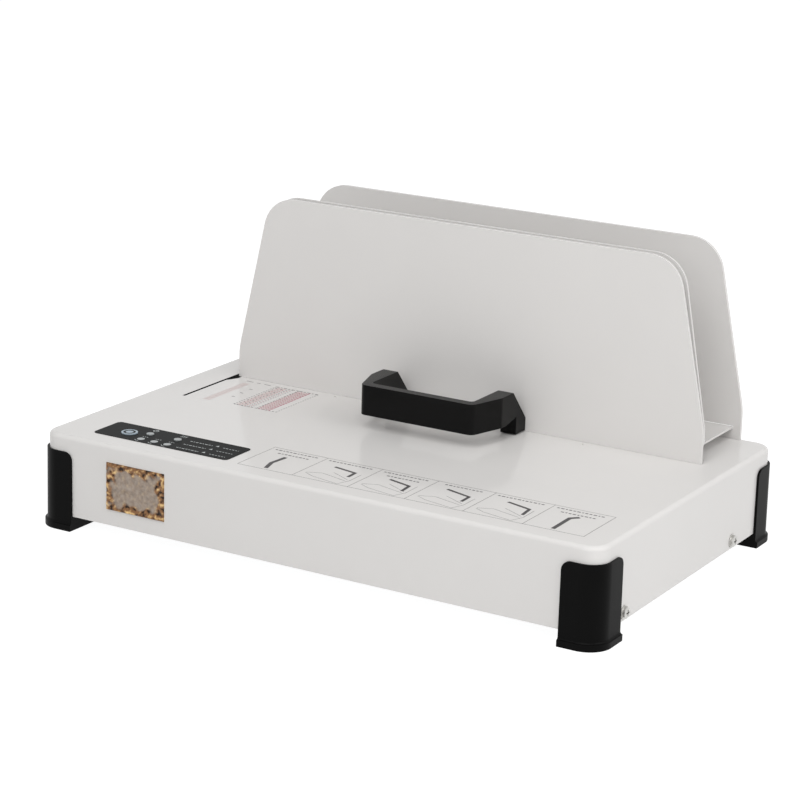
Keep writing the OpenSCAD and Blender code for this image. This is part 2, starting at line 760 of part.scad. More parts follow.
module start_key() color([0.72, 0.76, 0.8]) key(start_at, start_r);
module timer_key() color([0.7, 0.71, 0.71]) key(timer_at, small_r);
module heat_key() color([0.7, 0.71, 0.71]) key(heat_at, small_r);

module lamp_windows() color([0.78, 0.8, 0.8])
    for (lamp = lamps_at) translate([lamp.x, lamp.y, under_z]) cylinder(r = small_r, h = sheet + film_t);

module control_board() color([0.1, 0.35, 0.2]) difference() {
    translate([film_x, film_y, board_z - board_t]) cube([film_w - 20, film_d, board_t]);
    spacer_places() cylinder(r = 1.3, h = 20, center = true);
}

module spacer_places() {
    for (x = [4, film_w - 24], y = [4, film_d - 4])
        translate([film_x + x, film_y + y, board_z]) children();
}

module board_spacers() color([0.85, 0.85, 0.8])
    spacer_places() difference() {
        cylinder(r = 2.8, h = under_z - board_z);
        translate([0, 0, -over]) cylinder(r = 1.3, h = 6);
    }

module key_switches() color([0.15, 0.15, 0.16])
    for (at = [start_at, timer_at, heat_at]) translate([at.x - 3, at.y - 3, board_z]) {
        cube([6, 6, switch_h - 0.8]);
        translate([3, 3, switch_h - 1]) cylinder(r = 1.6, h = 1);
    }

module indicator_lamps() color([0.85, 0.9, 0.85])
    for (lamp = lamps_at) translate([lamp.x, lamp.y, board_z]) cylinder(r = 1.5, h = under_z - board_z - 0.5);

module buzzer() color([0.12, 0.12, 0.12])
    translate([film_x + 72, film_y + film_d / 2, board_z - board_t - 8]) difference() {
        cylinder(r = 6, h = 8);
        translate([0, 0, -over]) cylinder(r = 1, h = over + 2);
    }

// Mains side

power_x = 34 - half_w;
power_y = 68 - half_d;
power_w = 96;
power_d = 62;
power_z = tray_top + 8;
module power_board() color([0.12, 0.38, 0.2])
    translate([power_x, power_y, power_z]) cube([power_w, power_d, board_t]);

module power_spacers() color([0.85, 0.85, 0.8])
    for (x = [5, power_w - 5], y = [5, power_d - 5])
        translate([power_x + x, power_y + y, tray_top]) cylinder(r = 3, h = power_z - tray_top);

// The transformer's core, and its winding that stands out of the core in front and behind
core_size = [34, 30, 24];
winding_size = [24, 38, 18];
module transformer() color([0.25, 0.3, 0.5]) translate([power_x + 10, power_y + 12, power_z + board_t]) {
    cube(core_size);
    translate((core_size - winding_size) / 2) cube(winding_size);
}

relay_size = [20, 16, 16];
module heater_relay() color([0.15, 0.2, 0.3])
    translate([power_x + 60, power_y + 16, power_z + board_t]) cube(relay_size);

// Mains inlet: a snap-in socket with a bezel outside the back wall
module mains_inlet() color([0.1, 0.1, 0.1]) translate([inlet_x, half_d, mains_z]) difference() {
    union() {
        translate([-inlet_w / 2 - inlet_wall, -inlet_depth, -inlet_h / 2 - inlet_wall])
            cube([inlet_w + 2 * inlet_wall, inlet_depth, inlet_h + 2 * inlet_wall]);
        upright(bezel_t, bezel_t) rounded_plan(inlet_w + 8, inlet_h + 8, 3);
    }
    upright(bezel_t + over, inlet_depth + bezel_t + over - inlet_wall) polygon([
        [-inlet_w / 2, -inlet_h / 2], [inlet_w / 2, -inlet_h / 2], [inlet_w / 2, inlet_h / 2 - inlet_cut],
        [inlet_w / 2 - inlet_cut, inlet_h / 2], [inlet_cut - inlet_w / 2, inlet_h / 2],
        [-inlet_w / 2, inlet_h / 2 - inlet_cut]
    ]);
}

module inlet_pins() color([0.8, 0.7, 0.45])
    for (pin = [[-7, -1], [0, 2], [7, -1]])
        translate([inlet_x + pin.x, half_d - inlet_depth + inlet_wall, mains_z + pin.y])
            translate([-pin_size.x / 2, 0, -pin_size.z / 2]) cube(pin_size);

// Rocker switch: its frame and the rocker that tilts in it
module rocker_frame() color([0.1, 0.1, 0.1]) translate([rocker_x, half_d, mains_z]) difference() {
    union() {
        upright(bezel_t, bezel_t) rounded_plan(rocker_w + 6, rocker_h + 6, 1.5);
        translate([-rocker_w / 2 - 1.5, -16, -rocker_h / 2 - 1.5]) cube([rocker_w + 3, 16, rocker_h + 3]);
    }
    translate([-rocker_w / 2, -12, -rocker_h / 2]) cube([rocker_w, 12 + bezel_t + over, rocker_h]);
    translate([0, -2, 0]) rotate([0, 90, 0]) cylinder(r = 1.55, h = rocker_w + 1.6, center = true);
}

module rocker() color([0.16, 0.16, 0.17]) translate([rocker_x, half_d - 2, mains_z]) {
    rotate([0, 90, 0]) cylinder(r = 1.5, h = rocker_w + 1.2, center = true);
    along_x(-rocker_w / 2 + 0.4, rocker_w - 0.8) intersection() {
        circle(rocker_h / 2 - 0.4);
        polygon([
            [-6, -4], [1, 0.4 - rocker_h / 2], [bezel_t + 3.4, 1.2 - rocker_h / 2], [bezel_t + 2, 0],
            [bezel_t + 0.8, rocker_h / 2 - 1.2], [0, rocker_h / 2 - 0.4], [-6, 4]
        ]);
    }
}

// Plain plaque on the front wall, with a raised border
module badge_plate() color([0.62, 0.45, 0.25]) translate([badge_x, -half_d, badge_z]) rotate([90, 0, 0]) {
    linear_extrude(0.6) translate([badge_w / 2, badge_h / 2]) rounded_plan(badge_w, badge_h, 1);
    linear_extrude(1.2) translate([badge_w / 2, badge_h / 2]) difference() {
        rounded_plan(badge_w, badge_h, 1);
        square([badge_w - 5, badge_h - 5], center = true);
    }
}

top_housing();
base_tray();
foot_front_left();
foot_front_right();
foot_rear_left();
foot_rear_right();
foot_screws();
side_screws();
side_washers();
rear_plate();
rear_plate_screws();
front_plate();
trough_sheet();
handle();
handle_screws();
hot_plate();
heater_mat();
heater_cover();
heater_screws();
thermal_cutout();
temperature_sensor();
carriage_frame();
carriage_nuts();
guide_bushes();
guide_rods();
rod_brackets();
bracket_screws();
control_film();
start_key();
timer_key();
heat_key();
lamp_windows();
control_board();
board_spacers();
key_switches();
indicator_lamps();
buzzer();
power_board();
power_spacers();
transformer();
heater_relay();
mains_inlet();
inlet_pins();
rocker_frame();
rocker();
badge_plate();
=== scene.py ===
import json
import math

import bmesh
import bpy
from mathutils import Matrix, Vector, noise

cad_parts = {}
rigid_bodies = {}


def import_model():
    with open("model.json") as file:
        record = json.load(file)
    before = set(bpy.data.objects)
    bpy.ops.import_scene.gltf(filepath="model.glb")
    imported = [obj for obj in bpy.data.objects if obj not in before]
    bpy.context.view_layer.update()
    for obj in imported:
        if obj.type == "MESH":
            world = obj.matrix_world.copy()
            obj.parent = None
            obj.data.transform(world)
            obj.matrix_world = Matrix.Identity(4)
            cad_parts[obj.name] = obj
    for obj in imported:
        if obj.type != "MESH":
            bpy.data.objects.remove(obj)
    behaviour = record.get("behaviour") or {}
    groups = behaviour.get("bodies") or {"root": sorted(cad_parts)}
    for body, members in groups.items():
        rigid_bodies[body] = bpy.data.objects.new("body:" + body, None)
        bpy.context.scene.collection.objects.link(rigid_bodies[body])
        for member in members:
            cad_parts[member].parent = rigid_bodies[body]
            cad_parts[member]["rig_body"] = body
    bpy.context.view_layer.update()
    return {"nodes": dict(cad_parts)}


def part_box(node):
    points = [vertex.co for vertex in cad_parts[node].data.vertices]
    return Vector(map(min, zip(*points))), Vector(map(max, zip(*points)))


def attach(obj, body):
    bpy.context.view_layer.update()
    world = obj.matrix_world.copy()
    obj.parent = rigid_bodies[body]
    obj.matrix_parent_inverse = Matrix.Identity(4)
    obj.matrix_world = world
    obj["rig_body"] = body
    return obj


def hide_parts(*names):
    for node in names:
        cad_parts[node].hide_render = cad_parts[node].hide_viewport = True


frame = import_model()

MM = 0.001

# Camera: a long lens in front of the machine and to its right, tipped a little about its own axis.
# Its place is given from the middle of the housing, on the table.
CAMERA_AT = (839.6 * MM, -1455.7 * MM, 573.9 * MM)
CAMERA_AZIMUTH, CAMERA_ELEVATION, CAMERA_ROLL = (math.radians(a) for a in (30.175, 16.01, 1.662))
LENS_MM, SENSOR_MM = 116.78, 36
SHIFT_X, SHIFT_Y = -0.003, 0.0012


def added(name, data):
    """Makes an object of the data and puts it in the scene."""
    made = bpy.data.objects.new(name, data)
    bpy.context.scene.collection.objects.link(made)
    return made


ahead = Vector((
    -math.sin(CAMERA_AZIMUTH) * math.cos(CAMERA_ELEVATION),
    math.cos(CAMERA_AZIMUTH) * math.cos(CAMERA_ELEVATION),
    -math.sin(CAMERA_ELEVATION),
))
level = Vector((math.cos(CAMERA_AZIMUTH), math.sin(CAMERA_AZIMUTH), 0))
above = level.cross(ahead)
right = math.cos(CAMERA_ROLL) * level + math.sin(CAMERA_ROLL) * above
up = math.cos(CAMERA_ROLL) * above - math.sin(CAMERA_ROLL) * level
camera_data = bpy.data.cameras.new("camera")
camera_data.lens = LENS_MM
camera_data.sensor_width = SENSOR_MM
camera_data.shift_x = SHIFT_X
camera_data.shift_y = SHIFT_Y
camera = added("camera", camera_data)
camera.matrix_world = Matrix((
    (right.x, up.x, -ahead.x, CAMERA_AT[0]),
    (right.y, up.y, -ahead.y, CAMERA_AT[1]),
    (right.z, up.z, -ahead.z, CAMERA_AT[2]),
    (0, 0, 0, 1),
))
bpy.context.scene.camera = camera
bpy.context.scene.view_settings.view_transform = "Standard"


# Housing: one sheet of 1.5 mm steel, folded and welded at its corners, ground and powder coated.
# The coat is baked on after the welding, so it runs round every edge without a seam.
def node(tree, kind, inputs=None, **settings):
    """Adds a node of this kind, with its settings, and fills or links its inputs."""
    made = tree.nodes.new(kind)
    for name, value in settings.items():
        setattr(made, name, value)
    for name, value in (inputs or {}).items():
        if isinstance(value, bpy.types.NodeSocket):
            tree.links.new(value, made.inputs[name])
        else:
            made.inputs[name].default_value = value
    return made


def paint(hex_colour):
    """An sRGB hex colour as the linear colour that a shader takes."""
    channels = [int(hex_colour[i:i + 2], 16) / 255 for i in (1, 3, 5)]
    return [c / 12.92 if c <= 0.04045 else ((c + 0.055) / 1.055) ** 2.4 for c in channels] + [1]


def speckled(tree, place, size_mm, low, high, detail=3.0):
    """A tone between two colours that drifts over patches of the given size."""
    drift = node(tree, "ShaderNodeTexNoise",
                 {"Vector": place, "Scale": 1 / (size_mm * MM), "Detail": detail})
    return node(tree, "ShaderNodeMix", {"Factor": drift.outputs[0], "A": paint(low), "B": paint(high)},
                data_type="RGBA").outputs["Result"]


def grained(tree, place, size_mm, depth_mm):
    """A fine unevenness of the surface, with grains of the given size and depth. Grit, pores and
    grinding marks finer than half a millimetre are drawn about that coarse, so that they show."""
    grain = node(tree, "ShaderNodeTexNoise",
                 {"Vector": place, "Scale": 1 / (size_mm * MM), "Detail": 2.0})
    bump = node(tree, "ShaderNodeBump", {"Height": grain.outputs[0], "Distance": depth_mm * MM})
    return bump.outputs[0]


def surface(name, low, high, patch_mm, roughness, grain_mm, depth_mm, **shader_settings):
    """A material of one substance: two near tones in patches, and a fine grain."""
    made = bpy.data.materials.new(name)
    made.use_nodes = True
    tree = made.node_tree
    tree.nodes.clear()
    place = node(tree, "ShaderNodeTexCoord").outputs["Object"]
    inputs = {
        "Base Color": speckled(tree, place, patch_mm, low, high),
        "Normal": grained(tree, place, grain_mm, depth_mm),
        "Roughness": roughness,
    }
    inputs.update(shader_settings)
    shader = node(tree, "ShaderNodeBsdfPrincipled", inputs)
    node(tree, "ShaderNodeOutputMaterial", {"Surface": shader.outputs[0]})
    return made


def dress(node_name, material):
    """Gives a CAD node its material."""
    mesh = frame["nodes"][node_name].data
    mesh.materials.clear()
    mesh.materials.append(material)


# Polyester powder melted on steel gives an even warm white; its orange peel repeats at about 1.5 mm,
# and lets the handle and the plates show in it as faint mirror images
powder_coat = surface("white_polyester_powder_coat", "#E3E1DF", "#DFDDDB", 60, 0.13, 1.5, 0.002,
                      **{"Specular IOR Level": 0.14})
dress("top_housing", powder_coat)


# Base tray: bright zinc-plated sheet, folded up all round and pierced with rows of cooling slots.
# Rolling and plating leave a faint spangle a few millimetres across.
zinc_plate = surface("zinc_plated_sheet", "#B9BCBE", "#A4A8AB", 5, 0.38, 3.0, 0.004, Metallic=1.0)
dress("base_tray", zinc_plate)


# Feet: four moulded ABS corner guards, drawn round the housing's corners and under its tray.
# Each is held from below by two screws, and every outer edge has a small radius.

# Points nearer than WELD are one, faces within FLAT_DEG of each other are one, an edge folded by more
# than FOLD_DEG is rounded, and a plate's foot is everything up to PLATE_FOOT over foot_z
WELD, FLAT_DEG, FOLD_DEG, PLATE_FOOT = 0.002 * MM, 0.5, 32, 1.6 * MM


def softened(name, node_name, edge_mm, steps, material, foot_z=None):
    """A merged copy of a CAD node with its edges rounded by edge_mm. A plate that stands over the
    housing is drawn down to foot_z, and its foot is left sharp."""
    mesh = frame["nodes"][node_name].data.copy()
    mesh.name = name
    shape = bmesh.new()
    shape.from_mesh(mesh)
    for vert in shape.verts:
        if foot_z and foot_z < vert.co.z < foot_z + PLATE_FOOT:
            vert.co.z = foot_z
    bmesh.ops.remove_doubles(shape, verts=shape.verts, dist=WELD)
    bmesh.ops.dissolve_limit(shape, angle_limit=math.radians(FLAT_DEG),
                             verts=shape.verts, edges=shape.edges)
    weight = shape.edges.layers.float.new("bevel_weight_edge")
    for edge in shape.edges:
        middle = (edge.verts[0].co + edge.verts[1].co) / 2
        folded = len(edge.link_faces) == 2 and edge.calc_face_angle() > math.radians(FOLD_DEG)
        at_foot = foot_z and middle.z < foot_z + PLATE_FOOT
        edge[weight] = 1.0 if folded and not at_foot else 0.0
    shape.to_mesh(mesh)
    shape.free()
    if "custom_normal" in mesh.attributes:
        mesh.attributes.remove(mesh.attributes["custom_normal"])
    mesh.materials.clear()
    mesh.materials.append(material)
    mesh.shade_smooth()
    mesh.set_sharp_from_angle(angle=math.radians(FOLD_DEG))
    made = added(name, mesh)
    bevel = made.modifiers.new("edges", "BEVEL")
    bevel.width = edge_mm * MM
    bevel.segments = steps
    bevel.limit_method = "WEIGHT"
    bevel.use_clamp_overlap = True
    bevel.harden_normals = True
    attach(made, frame["nodes"][node_name]["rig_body"])
    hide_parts(node_name)
    return made


# A spark-eroded mould leaves a fine grit on the ABS, so the black is satin, with a soft grey shine
moulded_abs = surface("spark_eroded_black_abs", "#060606", "#090909", 12, 0.4, 0.8, 0.01,
                      **{"Specular IOR Level": 0.06})
for corner in ("front_left", "front_right", "rear_left", "rear_right"):
    foot = softened("foot_guard_" + corner, "foot_" + corner, 0.7, 3, moulded_abs)


# Screws that show: pressed steel pan heads with a cross recess, nickel plated.
# Each head is domed by a shallow curve, and the recess is two crossed slots.
HEAD_SIDES, HEAD_RINGS, DOME_CURVE, HEAD_SMOOTH_DEG = 36, 6, 2.4, 35

# Nickel plating is bright with a warm tinge, and blurs what it mirrors
nickel_steel = surface("nickel_plated_steel", "#C9C8C4", "#BDBCB9", 3, 0.28, 1.0, 0.003, Metallic=1.0)


def pan_head_tree():
    """Puts a domed head with a cross recess at each point, facing along the point's own direction."""
    tree = bpy.data.node_groups.new("pan_heads", "GeometryNodeTree")
    sockets = tree.interface
    sockets.new_socket("Geometry", in_out="INPUT", socket_type="NodeSocketGeometry")
    for label, value in (("Head radius", 3.8 * MM), ("Head height", 2.2 * MM), ("Dome", 0.7 * MM),
                         ("Slot length", 4.2 * MM), ("Slot width", 0.9 * MM), ("Slot depth", 1.3 * MM)):
        sockets.new_socket(label, in_out="INPUT", socket_type="NodeSocketFloat").default_value = value
    sockets.new_socket("Finish", in_out="INPUT", socket_type="NodeSocketMaterial")
    sockets.new_socket("Geometry", in_out="OUTPUT", socket_type="NodeSocketGeometry")
    given = tree.nodes.new("NodeGroupInput").outputs
    disc = node(tree, "GeometryNodeMeshCylinder", {
        "Vertices": HEAD_SIDES, "Side Segments": 1, "Fill Segments": HEAD_RINGS,
        "Radius": given["Head radius"], "Depth": given["Head height"],
    }, fill_type="TRIANGLE_FAN")
    place = node(tree, "GeometryNodeInputPosition").outputs[0]
    parts = node(tree, "ShaderNodeSeparateXYZ", {0: place}).outputs
    flat = node(tree, "ShaderNodeCombineXYZ", {0: parts[0], 1: parts[1]}).outputs[0]
    reach = node(tree, "ShaderNodeVectorMath", {0: flat}, operation="LENGTH").outputs["Value"]
    share = node(tree, "ShaderNodeMath", {0: reach, 1: given["Head radius"]},
                 operation="DIVIDE").outputs[0]
    fall = node(tree, "ShaderNodeMath", {0: share, 1: DOME_CURVE}, operation="POWER").outputs[0]
    drop = node(tree, "ShaderNodeMath", {0: fall, 1: given["Dome"]}, operation="MULTIPLY").outputs[0]
    top = node(tree, "FunctionNodeCompare", {0: parts[2], 1: 0.0}, operation="GREATER_THAN").outputs[0]
    down = node(tree, "ShaderNodeMath", {0: drop, 1: -1.0}, operation="MULTIPLY").outputs[0]
    shift = node(tree, "ShaderNodeCombineXYZ", {2: down}).outputs[0]
    domed = node(tree, "GeometryNodeSetPosition",
                 {"Geometry": disc.outputs["Mesh"], "Selection": top, "Offset": shift})
    half = node(tree, "ShaderNodeMath", {0: given["Head height"], 1: 0.5},
                operation="MULTIPLY").outputs[0]
    slot_at = node(tree, "ShaderNodeCombineXYZ", {2: half}).outputs[0]
    twice = node(tree, "ShaderNodeMath", {0: given["Slot depth"], 1: 2.0},
                 operation="MULTIPLY").outputs[0]
    head = domed.outputs[0]
    for long_way in (0, 1):
        sides = {long_way: given["Slot length"], 1 - long_way: given["Slot width"], 2: twice}
        size = node(tree, "ShaderNodeCombineXYZ", sides).outputs[0]
        block = node(tree, "GeometryNodeMeshCube", {"Size": size}).outputs["Mesh"]
        slot = node(tree, "GeometryNodeTransform", {"Geometry": block, "Translation": slot_at})
        head = node(tree, "GeometryNodeMeshBoolean", {0: head, 1: slot.outputs[0]},
                    operation="DIFFERENCE").outputs[0]
    facing = node(tree, "GeometryNodeInputNamedAttribute", {"Name": "facing"},
                  data_type="FLOAT_VECTOR")
    turn = node(tree, "FunctionNodeAlignRotationToVector", {"Vector": facing.outputs[0]}, axis="Z")
    placed = node(tree, "GeometryNodeInstanceOnPoints",
                  {"Points": given["Geometry"], "Instance": head, "Rotation": turn.outputs[0]})
    solid = node(tree, "GeometryNodeRealizeInstances", {"Geometry": placed.outputs[0]})
    shown = node(tree, "GeometryNodeSetMaterial",
                 {"Geometry": solid.outputs[0], "Material": given["Finish"]})
    node(tree, "NodeGroupOutput", {0: shown.outputs[0]})
    return tree


pan_heads = pan_head_tree()


def baked(name, points, facings, tree, values):
    """Runs a Geometry Nodes tree on points that face their own ways, and keeps the mesh it makes."""
    seed = bpy.data.meshes.new(name + "_points")
    seed.from_pydata(points, [], [])
    way = seed.attributes.new("facing", "FLOAT_VECTOR", "POINT")
    for i, facing in enumerate(facings):
        way.data[i].vector = facing
    carrier = added(name + "_carrier", seed)
    modifier = carrier.modifiers.new("tree", "NODES")
    modifier.node_group = tree
    for item in tree.interface.items_tree:
        if item.item_type == "SOCKET" and item.in_out == "INPUT" and item.name in values:
            modifier[item.identifier] = values[item.name]
    bpy.context.view_layer.update()
    evaluated = carrier.evaluated_get(bpy.context.evaluated_depsgraph_get())
    mesh = bpy.data.meshes.new_from_object(evaluated)
    mesh.name = name
    bpy.data.objects.remove(carrier)
    return added(name, mesh)


def solid_groups(node_name):
    """The separate solids of a CAD node, each as its lowest and highest corner."""
    shape = bmesh.new()
    shape.from_mesh(frame["nodes"][node_name].data)
    bmesh.ops.remove_doubles(shape, verts=shape.verts, dist=WELD)
    seen, found = set(), []
    for start in shape.verts:
        if start in seen:
            continue
        group, queue = [], [start]
        seen.add(start)
        while queue:
            vert = queue.pop()
            group.append(vert.co.copy())
            for edge in vert.link_edges:
                other = edge.other_vert(vert)
                if other not in seen:
                    seen.add(other)
                    queue.append(other)
        found.append([Vector(end(point[i] for point in group) for i in range(3)) for end in (min, max)])
    shape.free()
    return found


def pan_head_screws(name, node_name, axis, outward, values):
    """Finished heads for a node's screws, whose axes lie along axis. outward says which way the
    head of the screw between two corners faces."""
    points, facings = [], []
    for low, high in solid_groups(node_name):
        way = outward(low, high)
        middle = (low + high) / 2
        middle[axis] = (high[axis] if way > 0 else low[axis]) - way * values["Head height"] / 2
        points.append(middle)
        facings.append([way if i == axis else 0 for i in range(3)])
    made = baked(name, points, facings, pan_heads, values)
    made.data.shade_smooth()
    made.data.set_sharp_from_angle(angle=math.radians(HEAD_SMOOTH_DEG))
    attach(made, frame["nodes"][node_name]["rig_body"])
    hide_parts(node_name)


M4_HEAD = {"Head radius": 3.8 * MM, "Head height": 2.2 * MM, "Finish": nickel_steel}
LOW_HEAD = {**M4_HEAD, "Head radius": 3.4 * MM, "Head height": 1.6 * MM}
pan_head_screws("side_screw_heads", "side_screws", 0,
                lambda low, high: 1 if high.x > 0 else -1, M4_HEAD)
pan_head_screws("rear_plate_screw_heads", "rear_plate_screws", 1, lambda low, high: 1, M4_HEAD)
pan_head_screws("foot_screw_heads", "foot_screws", 2, lambda low, high: -1, M4_HEAD)
pan_head_screws("bracket_screw_heads", "bracket_screws", 2, lambda low, high: -1, LOW_HEAD)
softened("side_washer_rings", "side_washers", 0.15, 2, nickel_steel)
for hidden in ("handle_screws", "heater_screws", "carriage_nuts", "inlet_pins"):
    dress(hidden, nickel_steel)


# Plates and trough: laser-cut steel with the same coat as the housing, its cut edges broken by hand.
# The trough's sheet is folded once, welded to the front plate and coated with it as one piece.
# The front plate slides a hair above the housing's top.
SLIDE_GAP = 0.1 * MM
top_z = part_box("top_housing")[1].z
PLATES = (
    ("rear_plate_coated", "rear_plate", 0.5, None),
    ("front_plate_coated", "front_plate", 0.4, top_z + SLIDE_GAP),
    ("trough_sheet_coated", "trough_sheet", 0.3, None),
)
for name, node_name, edge_mm, foot_z in PLATES:
    plate = softened(name, node_name, edge_mm, 3, powder_coat, foot_z=foot_z)


# Handle: a bridge handle moulded in glass-filled nylon, with moulded radii on all its long edges.
# Two screws from behind the front plate hold it.

# Nylon from a polished mould is smoother than the feet: its top shines grey and its edges catch light
handle_nylon = surface("glass_filled_black_nylon", "#050505", "#080808", 25, 0.26, 1.2, 0.004,
                       **{"Specular IOR Level": 0.13})
softened("bridge_handle", "handle", 0.9, 4, handle_nylon)


# Heater: an extruded aluminium bar under the trough's floor, a silicone mat, and the sheet that holds
# them. All of it hangs under the carriage, inside the housing.

# Extruded aluminium is silvery with a dull bloom, silicone matt and brick red, the cutout's case a
# glazed cream, and moulded phenolic dark and dull
mill_aluminium = surface("mill_finish_aluminium", "#C4C6C8", "#B4B7B9", 9, 0.33, 2.0, 0.004,
                         Metallic=1.0)
silicone_rubber = surface("calendered_silicone_rubber", "#B4512B", "#A84824", 8, 0.55, 1.0, 0.02)
ceramic_case = surface("glazed_cutout_case", "#DFD9C6", "#D6D0BC", 5, 0.3, 1.0, 0.005)
black_phenolic = surface("moulded_black_phenolic", "#1B1B1B", "#242424", 6, 0.45, 0.8, 0.01)
for name in ("hot_plate", "rod_brackets"):
    dress(name, mill_aluminium)
for name in ("heater_cover", "carriage_frame"):
    dress(name, zinc_plate)
dress("heater_mat", silicone_rubber)
dress("thermal_cutout", ceramic_case)
dress("temperature_sensor", black_phenolic)


# Slide: ground and hardened steel rods, and sintered bronze bushes pressed into the carriage's blocks.
# The rods are clamped between brackets that are screwed to the tray.

# Ground steel shines like a mirror, and sintered bronze is a dull yellow brown with open pores
ground_steel = surface("ground_steel_rod", "#CFD1D2", "#C3C5C7", 30, 0.15, 0.5, 0.001, Metallic=1.0)
sintered_bronze = surface("sintered_bronze", "#B08345", "#9C7239", 2, 0.45, 0.6, 0.01, Metallic=1.0)
dress("guide_rods", ground_steel)
dress("guide_bushes", sintered_bronze)


# Control film: a matt polyester overlay, printed dark grey from behind and glued on the housing.
# Six clear windows are left in the print; the keys under three of them travel a little.

# The print's black looks even and slightly grey through the matt polyester, and what lies under the
# windows looks frosted
overlay = surface("matt_polyester_overlay", "#131414", "#161717", 20, 0.43, 0.6, 0.001,
                  **{"Specular IOR Level": 0.035})
key_cap = surface("light_grey_key_plastic", "#A4A8A9", "#9B9FA0", 4, 0.4, 0.8, 0.002)
blue_key_cap = surface("blue_grey_key_plastic", "#8FA2B0", "#A9B6BF", 3, 0.35, 0.8, 0.002)
lamp_lens = surface("frosted_lamp_lens", "#A9ADAE", "#A0A4A5", 3, 0.35, 0.8, 0.002)
dress("control_film", overlay)
dress("start_key", blue_key_cap)
dress("timer_key", key_cap)
dress("heat_key", key_cap)
dress("lamp_windows", lamp_lens)


# Slit shade: a black sheet is painted shade for the dark inside of the slit at the plate's left end and
# of the relief hole behind it.
# It is cut to their outline and lies flush with the housing's top.
LAYER_T, LAYER_WELD = 0.04 * MM, 0.001 * MM
SLIT_SHADE_OUTLINE = [(-184.1, -5.3), (-182.0, -5.3), (-182.0, 46.0), (-177.6, 55.4), (-177.6, 60.0), (-179.9, 60.2),
        (-179.9, 69.1), (-184.1, 69.1)]


def laid_flat(name, z, outlines, material, body="base"):
    """A thin layer with the given outlines in millimetres, each a flat patch with its own low edge."""
    shape = bmesh.new()
    for outline in outlines:
        low = [shape.verts.new((x * MM, y * MM, z)) for x, y in outline]
        high = [shape.verts.new((x * MM, y * MM, z + LAYER_T)) for x, y in outline]
        shape.faces.new(high)
        shape.faces.new(low[::-1])
        for i in range(len(low)):
            j = (i + 1) % len(low)
            shape.faces.new((low[i], low[j], high[j], high[i]))
    bmesh.ops.remove_doubles(shape, verts=shape.verts, dist=LAYER_WELD)
    bmesh.ops.recalc_face_normals(shape, faces=shape.faces)
    mesh = bpy.data.meshes.new(name)
    shape.to_mesh(mesh)
    shape.free()
    mesh.materials.append(material)
    made = added(name, mesh)
    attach(made, body)


# Painted shade: the sheet is near black and matt, so the slit and the hole show as a black line
slit_shade_sheet = surface("black_painted_slit_shade", "#040404", "#080808", 1, 0.9, 0.4, 0.02,
                    **{"Specular IOR Level": 0.05})
laid_flat("painted_slit_shade", top_z - LAYER_T / 2, [SLIT_SHADE_OUTLINE], slit_shade_sheet)


# Prints: screen-printed ink on the housing and on the film, a few hundredths of a millimetre thick.
# They are plain bars, frames, rings, rulings and rows of dashes.

# A stroke's corner reaches out by half its width, divided by no less than this
MITRE_LEAST = 0.3
film_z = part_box("control_film")[1].z


def bar(x, y, w, d):
    """A rectangle of ink by its lower left corner, in millimetres."""
    return [(x, y), (x + w, y), (x + w, y + d), (x, y + d)]


def stroke(points, width):
    """Ink along a line through the points, in millimetres, as one outline with mitred corners."""
    points = [Vector(p) for p in points]
    left, other = [], []
    for i, point in enumerate(points):
        before = (point - points[i - 1]).normalized() if i else None
        after = (points[i + 1] - point).normalized() if i < len(points) - 1 else None
        along = ((before or after) + (after or before)).normalized()
        side = Vector((-along.y, along.x))
        reach = width / 2 / max(MITRE_LEAST, along.dot(after or before))
        left.append(tuple(point + side * reach))
        other.append(tuple(point - side * reach))
    return other + left[::-1]


def frame_lines(x, y, w, d, line):
    """The four thin lines round a rectangle."""
    return [bar(x, y, w, line), bar(x, y + d - line, w, line),
            bar(x, y + line, line, d - 2 * line), bar(x + w - line, y + line, line, d - 2 * line)]


def ring(x, y, inner, outer, steps):
    """A ring of ink, as short wedges."""
    turns = [2 * math.pi * i / steps for i in range(steps + 1)]
    rim = [[(x + r * math.cos(t), y + r * math.sin(t)) for t in turns] for r in (inner, outer)]
    return [[rim[0][i], rim[1][i], rim[1][i + 1], rim[0][i + 1]] for i in range(steps)]


def dashed(start, end, width, lengths, gap):
    """A line of short plain dashes, which take the given lengths in turn."""
    start, end = Vector(start), Vector(end)
    along = (end - start).normalized()
    side = Vector((-along.y, along.x)) * width / 2
    made, at, turn = [], 0.0, 0
    while at < (end - start).length:
        low = start + along * at
        high = low + along * min(lengths[turn % len(lengths)], (end - start).length - at)
        made.append([tuple(low - side), tuple(high - side), tuple(high + side), tuple(low + side)])
        at += lengths[turn % len(lengths)] + gap
        turn += 1
    return made


# Screen ink dries matt and covers a little unevenly, so each colour is two near tones
black_ink = surface("black_screen_ink", "#343233", "#3B393A", 4, 0.45, 0.5, 0.001)
grey_ink = surface("grey_screen_ink", "#4E4C4D", "#585657", 4, 0.45, 0.5, 0.001)
pink_ink = surface("pink_screen_ink", "#D6CBC9", "#D0C4C2", 4, 0.45, 0.5, 0.001)
red_ink = surface("red_screen_ink", "#B9667A", "#A95468", 4, 0.45, 0.5, 0.001)
pale_ink = surface("pale_screen_ink", "#AEB3B3", "#B9BEBE", 4, 0.45, 0.5, 0.001)

